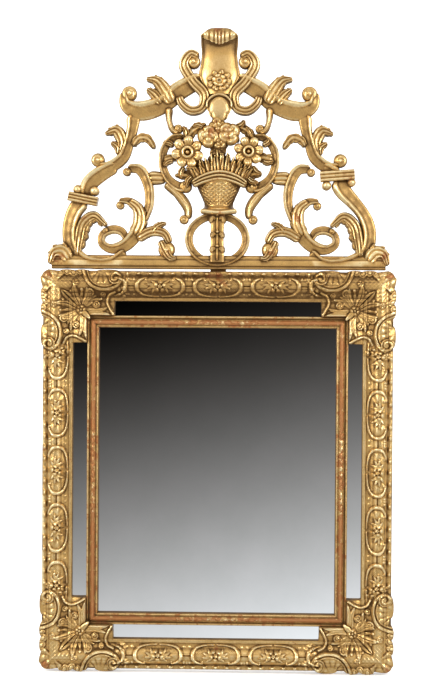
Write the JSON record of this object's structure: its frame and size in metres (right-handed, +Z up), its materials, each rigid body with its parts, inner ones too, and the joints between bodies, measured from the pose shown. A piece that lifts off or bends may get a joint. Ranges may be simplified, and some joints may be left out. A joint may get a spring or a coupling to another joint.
{
  "type": "wall mirror",
  "caption": "Tall wall mirror in carved gilded wood, with border plates around the central plate and a pierced scrollwork crest with a flower basket.",
  "frame": {"origin": "middle of the top rail's flat back, where the mirror is fixed to the wall", "axes": "+X to the right seen from the front, +Y back into the wall, +Z up"},
  "size_m": [0.664, 0.044, 1.1927],
  "materials": {
    "gilding": "carved wood with burnished gold leaf over red bole, rubbed on the high points and dark in the hollows",
    "worn_gilding": "moulded wood with worn gold leaf, red bole showing along the round",
    "silvered_glass": "plain silvered mirror plate",
    "bare_wood": "plain unfinished board, darkened with age"
  },
  "bodies": {
    "root": {"frame_rail_top": "gilding", "frame_rail_bottom": "gilding", "frame_rail_left": "gilding", "frame_rail_right": "gilding", "inner_rail_top": "worn_gilding", "inner_rail_bottom": "worn_gilding", "inner_rail_left": "worn_gilding", "inner_rail_right": "worn_gilding", "mirror_plate_centre": "silvered_glass", "mirror_plate_top": "silvered_glass", "mirror_plate_bottom": "silvered_glass", "mirror_plate_left": "silvered_glass", "mirror_plate_right": "silvered_glass", "back_board": "bare_wood", "crest": "gilding"}
  },
  "joints": []
}
